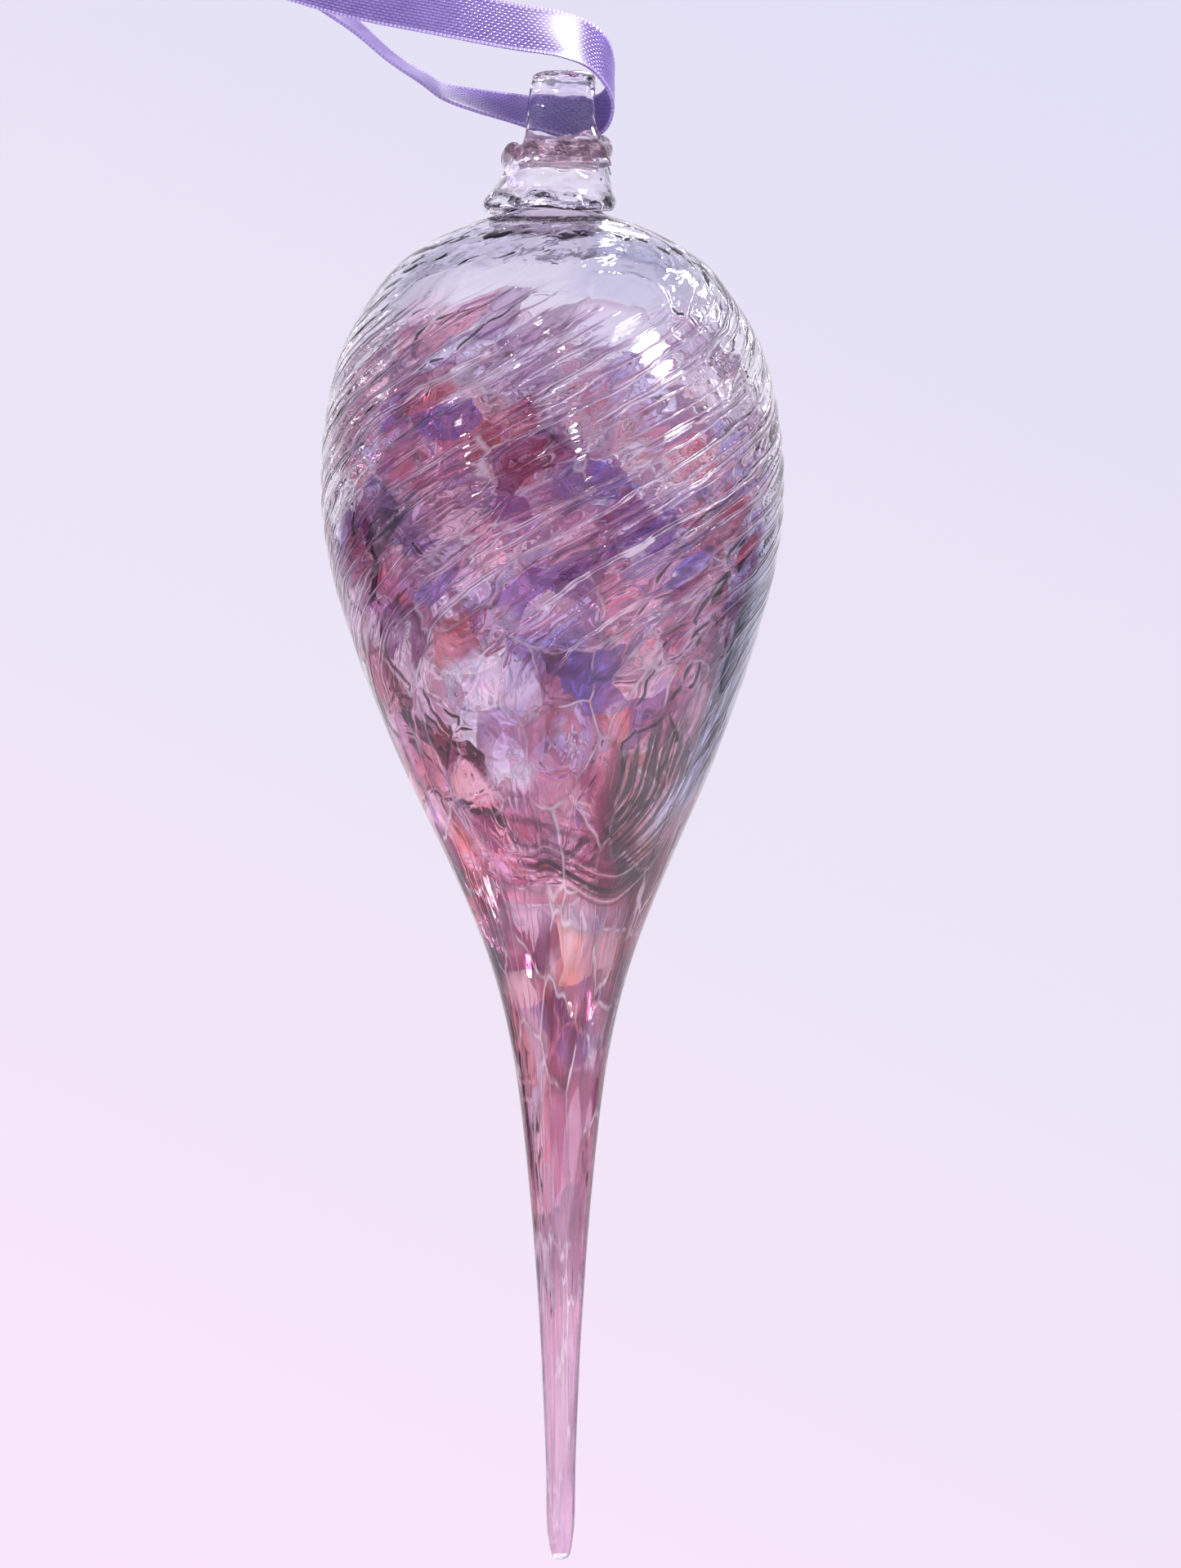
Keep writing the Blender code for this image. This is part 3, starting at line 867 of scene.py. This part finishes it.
def colour_strength(angle, depth):
    """How strong the colour is: it fades at the shoulder, in the tail and in thin patches."""
    colour = smoothstep(17 * MM, 44 * MM, depth)
    colour = colour * (1 - 0.38 * smoothstep(108 * MM, 175 * MM, depth))
    colour = colour * (1 - 0.22 * smoothstep(-0.2, 0.6, np.sin(angle)) * (depth < 104 * MM))
    gone = patches(
        angle,
        depth,
        (0.65, -68, 0.042, 30, 0.012),
        (0.95, -2, 0.080, 30, 0.028),
        (0.70, -56, 0.050, 16, 0.010),
        (0.75, -20, 0.042, 26, 0.018),
        (0.75, -160, 0.042, 28, 0.018),
        (0.63, -107, 0.084, 20, 0.011),
        (0.25, -104, 0.100, 30, 0.010),
        (0.50, 178, 0.068, 26, 0.022),
        (0.40, -138, 0.077, 18, 0.014),
        (0.30, -78, 0.100, 16, 0.010),
    )
    return colour * (1 - np.clip(gone, 0, 0.95))


def warm_share(angle, depth):
    """Share of warm colours, which grows down the glass."""
    warmth = 0.10 + 0.90 * smoothstep(66 * MM, 98 * MM, depth)
    return np.clip(warmth + 0.55 * patch(angle, depth, -108, 0.054, 20, 0.012), 0, 1)


def shades(angle, depth):
    """Share of grey-blue in the clear glass, and share of violet in the colour. The grey-blue on
    the right side is a painted reflection.
    """
    grey = 0.35 * (1 - smoothstep(26 * MM, 36 * MM, depth))
    grey = grey + patches(
        angle,
        depth,
        # painted reflection: grey-blue over the right side, at -6 degrees
        (0.9, -6, 0.080, 34, 0.026),
        (0.6, -109, 0.084, 20, 0.011),
        (0.45, -62, 0.031, 24, 0.012),
    )
    violet = patches(
        angle,
        depth,
        (0.8, -66, 0.052, 18, 0.013),
        (0.8, -98, 0.083, 26, 0.013),
        (0.5, -40, 0.118, 34, 0.012),
    )
    return columns(grey, violet)


def streaks(angle, depth):
    """Place across the floor's line, how strongly it shows, and how much smoke there is."""
    line = catmull_rom(zip(SWIRL_ANGLES, SWIRL_DEPTHS), 8)
    along = np.maximum.accumulate([p.x for p in line])
    line = np.interp((np.degrees(angle) + 180) % 360, along, [p.y for p in line]) * MM
    across = np.clip(0.5 + (depth - line) / SWIRL_WIDTH, 0, 1)
    shown = patch(angle, depth, -62, 0.103, 52, 0.010)
    smoke = patch(angle, depth, -46, 0.0955, 25, 0.0125)
    smoke = np.maximum(smoke, 0.7 * patch(angle, depth, -26, 0.083, 14, 0.020))
    smoke = np.maximum(smoke, 0.35 * patch(angle, depth, -42, 0.119, 26, 0.012))
    return columns(across, shown, smoke)


def smoke_flow(angle, depth):
    """Runs up the side of the glass and bends inward at the bubble's floor."""
    bend = 42 * np.clip((depth - 92 * MM) / (14 * MM), 0, 1.4) ** 2
    off = (np.degrees(angle) + 180) % 360 + bend
    return columns(off / 2.6, depth / (13 * MM))


def frit_sheet(material):
    """The layer of melted colour inside the wall, as an open sheet."""
    depths = np.linspace(OUTER_DEPTHS[2], OUTER_DEPTHS[-1], FRIT_ROWS)
    a, z, radius = ring_places(depths, outer_radius(depths), FRIT_AROUND)
    inside = radius - np.minimum(FRIT_DEPTH, FRIT_SHARE * radius)
    points = turned_points(inside, a, z, lean(z))
    made = new_mesh("frit_colour", points, ring_faces(FRIT_ROWS, FRIT_AROUND), material)
    store(made, "flow", flow_coordinates(a, z, radius, COLOUR_TWIST))
    store(made, "twisted", flow_coordinates(a, z, radius, 1.0))
    store(made, "zone", columns(colour_strength(a, z), warm_share(a, z)))
    store(made, "shade", shades(a, z))
    pink_tip = 0.8 * smoothstep(118 * MM, 178 * MM, z)
    pink_tip = pink_tip + 0.5 * patch(a, z, -108, 0.100, 32, 0.012)
    pale_top = 0.62 * (1 - smoothstep(27 * MM, 44 * MM, z))
    store(made, "ribbed", columns(rib_presence(z), pink_tip, pale_top))
    store(made, "streak", streaks(a, z))
    store(made, "smoke", smoke_flow(a, z))
    return made


# ---------------------------------------------------------------- eye


def rounded_ring(count, half_x, half_y, power):
    """Points of a super-ellipse."""
    out = []
    for i in range(count):
        t = 2 * math.pi * i / count
        c, s = math.cos(t), math.sin(t)
        x = half_x * math.copysign(abs(c) ** (2 / power), c)
        y = half_y * math.copysign(abs(s) ** (2 / power), s)
        out.append((x, y))
    return out


def sweep(rings, name, material, closed_ends=True):
    """A skin over a row of rings."""
    around = len(rings[0])
    points = [p for ring in rings for p in ring]
    faces = ring_faces(len(rings), around, flip=True)
    if closed_ends:
        faces += end_faces(len(rings), around)
    return new_mesh(name, points, faces, material)


def eye_strap_rings():
    """Sections of the band from the front root, over the crown, to the rear root."""
    # y, z, half width and half thickness, in millimetres
    front = [
        (-7.0, -10.6, 6.4, 1.5),
        (-6.5, -8.0, 5.6, 1.7),
        (-6.2, -5.2, 4.7, 1.6),
        (-6.0, -2.4, 4.5, 1.5),
        (-5.1, 0.0, 4.4, 1.30),
        (-3.0, 1.50, 4.3, 1.10),
        (0.0, 1.85, 4.2, 1.05),
    ]
    path = [*front, *((-y, *rest) for y, *rest in reversed(front[:-1]))]
    line = catmull_rom([(0, y * MM, z * MM) for y, z, _, _ in path], 5)
    sizes = catmull_rom([(0, wide * MM, thick * MM) for _, _, wide, thick in path], 5)
    rings = []
    for i, (p, size) in enumerate(zip(line, sizes)):
        along = (line[min(i + 1, len(line) - 1)] - line[max(i - 1, 0)]).normalized()
        out = Vector((0, along.z, -along.y))
        aside = EYE_ASIDE + 0.25 * MM * math.sin(p.z / (2.2 * MM))
        outline = rounded_ring(32, size.y, size.z, 2.6)
        rings.append([p + Vector((aside + x, 0, 0)) + out * y for x, y in outline])
    return rings


def foot_rings():
    """Level sections of the slumped foot, wider to the left at its lip."""
    # depth, left, right and half depth, in millimetres
    levels = [
        (8.0, -5.4, 6.4, 6.6),
        (9.2, -5.9, 7.0, 7.4),
        (10.4, -6.3, 7.5, 7.9),
        (11.8, -7.0, 7.8, 8.2),
        (13.4, -8.2, 8.0, 8.5),
        (14.8, -9.3, 8.4, 8.9),
        (15.7, -9.4, 8.5, 8.9),
        (16.3, -8.8, 8.0, 8.5),
    ]
    rings = []
    for depth, left, right, half_y in levels:
        outline = rounded_ring(64, (right - left) / 2 * MM, half_y * MM, 2.2)
        ring = []
        for i, (x, y) in enumerate(outline):
            turn = 2 * math.pi * i / len(outline)
            fold = 1 + 0.018 * math.sin(5 * turn + depth) + 0.012 * math.sin(11 * turn - 2 * depth)
            sag = 0.5 * math.sin(2 * turn + 0.8) + 0.25 * math.sin(7 * turn)
            middle = (left + right) / 2 * MM
            ring.append(Vector((middle + x * fold, y * fold, (-depth + sag * 0.5) * MM)))
        rings.append(ring)
    return rings


def seam_rings():
    """The rolled, torn rim where the band was pressed on to the foot."""
    rings = []
    sections = 72
    for i in range(sections):
        turn = 2 * math.pi * i / sections
        wave = 0.75 * math.sin(turn + 2.2) + 0.35 * math.sin(4 * turn) + 0.2 * math.sin(9 * turn)
        centre = Vector((0.5 + 6.1 * math.cos(turn), 6.5 * math.sin(turn), -8.4 + wave))
        out = Vector((math.cos(turn), math.sin(turn), 0))
        thick = 1.45 + 0.35 * math.sin(6 * turn + 1.0) + 0.2 * math.sin(13 * turn)
        ring = []
        for bend in np.linspace(0, 2 * math.pi, 14, endpoint=False):
            aside = out * math.cos(bend) * thick * 0.8
            rise = Vector((0, 0, math.sin(bend) * thick))
            ring.append((centre + aside + rise) * MM)
        rings.append(ring)
    return [*rings, rings[0]]


def hanging_eye(material):
    """The applied eye: a bent band on a flared, slumped foot, melted into one form."""
    parts = [
        sweep(eye_strap_rings(), "eye_strap", material),
        sweep(foot_rings(), "eye_foot", material),
        sweep(seam_rings(), "eye_seam", material, closed_ends=False),
    ]
    joined = bpy.data.meshes.new("hanging_eye_clear")
    both = bmesh.new()
    for part in parts:
        both.from_mesh(part.data)
    bmesh.ops.recalc_face_normals(both, faces=both.faces)
    both.to_mesh(joined)
    both.free()
    for part in parts:
        bpy.data.objects.remove(part)
    made = new_object("hanging_eye_clear", joined)
    joined.materials.clear()
    joined.materials.append(material)
    melt = made.modifiers.new("melt", "REMESH")
    melt.mode = "VOXEL"
    melt.voxel_size = 0.25 * MM
    soft = made.modifiers.new("soft", "SMOOTH")
    soft.factor = 0.5
    soft.iterations = 8
    bpy.context.view_layer.update()
    graph = bpy.context.evaluated_depsgraph_get()
    final = bpy.data.meshes.new_from_object(made.evaluated_get(graph))
    made.modifiers.clear()
    made.data = final
    final.shade_smooth()
    store(made, "flow", [v.co / (3.0 * MM) for v in final.vertices])
    return made


# ---------------------------------------------------------------- ribbon


def ribbon_frames(route, step=0.5 * MM):
    """Evenly spaced centres on the route, with unit vectors across and out of the ribbon."""
    centres = catmull_rom([Vector(p) * MM for p, _ in route], 16)
    sides = catmull_rom([side for _, side in route], 16)
    lengths = [0.0]
    for a, b in zip(centres, centres[1:]):
        lengths.append(lengths[-1] + (b - a).length)
    count = round(lengths[-1] / step)
    frames, i = [], 0
    for n in range(count + 1):
        target = lengths[-1] * n / count
        while i < len(lengths) - 2 and lengths[i + 1] < target:
            i += 1
        t = (target - lengths[i]) / (lengths[i + 1] - lengths[i])
        frames.append((centres[i].lerp(centres[i + 1], t), sides[i].lerp(sides[i + 1], t), target))
    out = []
    for n, (point, side, travelled) in enumerate(frames):
        ahead, behind = frames[min(n + 1, count)][0], frames[max(n - 1, 0)][0]
        along = (ahead - behind).normalized()
        across = (side - side.dot(along) * along).normalized()
        out.append((point, across, along.cross(across), travelled))
    return out


def ribbon_piece(name, route, material, tied_at_end):
    """A woven strip with a slight crown and thicker selvedges, gathered at the knot."""
    frames = ribbon_frames(route)
    half = RIBBON_WIDTH / 2
    whole = frames[-1][3]
    points, weave = [], []
    for point, across, out, travelled in frames:
        from_knot = min(travelled, whole - travelled) if tied_at_end else travelled
        gathered = 1 - smoothstep(0, GATHER_LENGTH, from_knot)
        width = 1 - (1 - GATHERED_SHARE) * gathered
        sides = []
        for i in range(RIBBON_COLUMNS + 1):
            u = -1 + 2 * i / RIBBON_COLUMNS
            selvedge = 1.25 if abs(u) > 0.9 else 1.0
            crown = 0.10 * MM * (1 - u * u)
            crown += 0.05 * MM * math.sin(travelled / (3.1 * MM) + 2 * u)
            crown += 0.45 * MM * gathered * math.sin(6.5 * u)
            sides.append((u * half, crown, RIBBON_THICKNESS / 2 * selvedge))
        for w, crown, thick in sides:
            points.append(point + across * w * width + out * (crown + thick))
            weave.append((w / MM, travelled / MM, 1.0))
        for w, crown, thick in reversed(sides):
            points.append(point + across * w * width + out * (crown - thick))
            weave.append((w / MM, travelled / MM, -1.0))
    around = 2 * (RIBBON_COLUMNS + 1)
    faces = ring_faces(len(frames), around, flip=True) + end_faces(len(frames), around)
    made = new_mesh(name, points, faces, material)
    shape = bmesh.new()
    shape.from_mesh(made.data)
    bmesh.ops.recalc_face_normals(shape, faces=shape.faces)
    shape.to_mesh(made.data)
    shape.free()
    made.data.shade_smooth()
    made.data.set_sharp_from_angle(angle=math.radians(50))
    store(made, "weave", weave)
    return made, [f[0] for f in frames]


def knot(material):
    """A small overhand knot of the same ribbon, crumpled tight."""
    turns = [2 * math.pi * i / KNOT_SECTIONS for i in range(KNOT_SECTIONS)]
    wide, deep, tall = KNOT_SIZE
    line = []
    for t in turns:
        x = math.sin(3 * t) * 0.9 * wide
        y = (math.cos(t) - 2 * math.cos(2 * t)) * deep
        z = (math.sin(t) + 2 * math.sin(2 * t)) * tall
        line.append((Vector(KNOT_CENTRE) + Vector((x, y, z))) * MM)
    half_width, half_thickness = KNOT_STRAND
    points, weave, around = [], [], 14
    for i, (point, t) in enumerate(zip(line, turns)):
        along = (line[(i + 1) % KNOT_SECTIONS] - line[i - 1]).normalized()
        side = along.cross(Vector((math.cos(t), math.sin(t), 0.3))).normalized()
        out = along.cross(side)
        for j in range(around):
            bend = 2 * math.pi * j / around
            pucker = 1 + 0.12 * math.sin(5 * bend + 7 * t)
            across = side * math.cos(bend) * half_width * pucker
            outward = out * math.sin(bend) * half_thickness * pucker
            points.append(point + across + outward)
            weave.append((math.cos(bend) * 3, t * 4, 1.0))
    faces = ring_faces(KNOT_SECTIONS, around, flip=True, closed=True)
    made = new_mesh("ribbon_knot_tied", points, faces, material)
    store(made, "weave", weave)
    return made


# ---------------------------------------------------------------- stage


def world():
    """Soft pale surroundings. The glass also meets a few darker bands, which draw its edges."""
    made = bpy.data.worlds.new("studio")
    bpy.context.scene.world = made
    n = Nodes(made, "OutputWorld")
    x, y, z = n.parts(n.add("TexCoord").outputs["Generated"])
    rise = n.plus(n.times(z, 3.6), n.plus(n.times(x, 1.6), 0.5))
    backdrop = [
        (0.00, (0.960, 0.790, 0.960)),
        (0.45, (0.850, 0.790, 0.925)),
        (1.00, (0.765, 0.745, 0.915)),
    ]
    # by the angle from straight behind the ornament: 0 there, 1 straight in front
    bands = [
        (0.00, (0.94, 0.89, 0.98)),
        (0.24, (0.90, 0.86, 0.97)),
        (0.31, (0.28, 0.25, 0.32)),
        (0.40, (0.20, 0.18, 0.24)),
        (0.46, (0.95, 0.92, 1.00)),
        (0.70, (0.80, 0.78, 0.90)),
        (1.00, (0.45, 0.43, 0.52)),
    ]
    behind = n.math("DIVIDE", n.math("ARCCOSINE", y), math.pi)
    # by height: 0 straight below, 1 straight above
    levels = [
        (0.00, (0.62, 0.50, 0.58)),
        (0.30, (0.85, 0.76, 0.84)),
        (0.45, (1.00, 1.00, 1.00)),
        (0.70, (1.00, 1.00, 1.02)),
        (0.78, (0.55, 0.53, 0.62)),
        (0.86, (1.35, 1.32, 1.40)),
    ]
    height = n.plus(n.times(z, 0.5), 0.5)
    lit = n.mix(1.0, n.ramp(behind, bands), n.ramp(height, levels), "MULTIPLY")
    camera_ray = n.add("LightPath").outputs["Is Camera Ray"]
    seen = n.mix(camera_ray, lit, n.ramp(rise, backdrop))
    n.finish(n.add("Background", {"Color": seen}).outputs[0])


def area_light(name, place, aim, size, power, colour):
    light = bpy.data.lights.new(name, "AREA")
    light.shape = "DISK"
    light.size = size
    light.energy = power
    light.color = colour
    made = new_object(name, light)
    made.location = place
    direction = Vector(aim) - Vector(place)
    made.rotation_euler = direction.to_track_quat("-Z", "Y").to_euler()
    return made


def hide_from(light, *rays):
    for ray in rays:
        setattr(light, "visible_" + ray, False)


def lights():
    """A soft key, a sun with its haze, and a sheen from behind.

    The glints show through the glass only, and the sparkles on its surface only.
    """
    middle = (0, 0, -0.05)
    key = area_light("key", (-0.40, -0.45, 1.25), middle, 0.7, 5.5, (1.0, 0.97, 1.0))
    hide_from(key, "glossy", "transmission")
    sun_place = (0.88, -0.50, 0.64)
    area_light("sun", sun_place, middle, 0.17, 26, (1.0, 0.98, 0.95))
    haze = area_light("sun_haze", sun_place, middle, 0.42, 11, (1.0, 0.96, 0.94))
    hide_from(haze, "diffuse")
    sheen = area_light("back_sheen", (0.12, 0.80, 0.56), middle, 0.22, 0.8, (1.0, 0.98, 1.0))
    hide_from(sheen, "diffuse", "transmission")
    glints = [
        ((0.62, 0.80, 0.72), 0.26, 1.0),
        ((0.30, 0.95, 0.22), 0.07, 0.16),
        ((-0.34, 0.95, 0.12), 0.07, 0.16),
        ((0.08, 0.90, 0.42), 0.07, 0.16),
    ]
    for i, (place, size, power) in enumerate(glints):
        glint = area_light("glint_" + str(i), place, middle, size, power, (1.0, 0.97, 0.98))
        hide_from(glint, "diffuse", "glossy")
    sparkles = [
        (-0.30, -0.82, 0.46),
        (0.18, -0.92, 0.16),
        (-0.06, -0.70, 0.80),
        (-0.62, -0.66, 0.10),
    ]
    for i, place in enumerate(sparkles):
        sparkle = area_light("sparkle_" + str(i), place, middle, 0.06, 1.2, (1.0, 0.98, 1.0))
        hide_from(sparkle, "diffuse", "transmission")


def floor():
    n = material_nodes("studio_floor")
    shader = n.add("BsdfPrincipled", {"Base Color": (0.80, 0.74, 0.86, 1), "Roughness": 0.8})
    material = n.finish(shader.outputs[0])
    shape = bmesh.new()
    bmesh.ops.create_circle(shape, cap_ends=True, segments=96, radius=0.78)
    mesh = bpy.data.meshes.new("studio_floor")
    shape.to_mesh(mesh)
    shape.free()
    mesh.materials.append(material)
    made = new_object("studio_floor", mesh)
    made.location = (0, 0, -0.300)


def camera():
    data = bpy.data.cameras.new("camera")
    data.sensor_width = SENSOR
    data.lens = SENSOR * -CAMERA_PLACE[1] / VIEW_HEIGHT
    made = new_object("camera", data)
    made.location = CAMERA_PLACE
    made.rotation_euler = (math.pi / 2, 0, 0)
    bpy.context.scene.camera = made


# ---------------------------------------------------------------- build

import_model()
camera()
world()
lights()
floor()
bpy.context.scene.view_settings.view_transform = "Standard"

cloth = satin()
strip, strip_line = ribbon_piece("ribbon", RIBBON_ROUTE, cloth, tied_at_end=True)
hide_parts("ribbon_wrap", "ribbon_front_strand", "ribbon_rear_strand")
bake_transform(strip)
tied = knot(cloth)
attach(tied, "ribbon")
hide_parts("ribbon_knot")
for tail_name, tail_route in TAIL_ROUTES.items():
    tail = ribbon_piece(tail_name + "_cut", tail_route, cloth, tied_at_end=False)[0]
    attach(tail, "ribbon")
    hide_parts(tail_name)

bulb = glass_body(bulb_glass(), bubble_wall())
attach(bulb, "glass")
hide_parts("clear_casing", "blown_bulb")
frit = frit_sheet(frit_colour())
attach(frit, "glass")
eye = hanging_eye(eye_glass())
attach(eye, "glass")
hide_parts("hanging_eye")
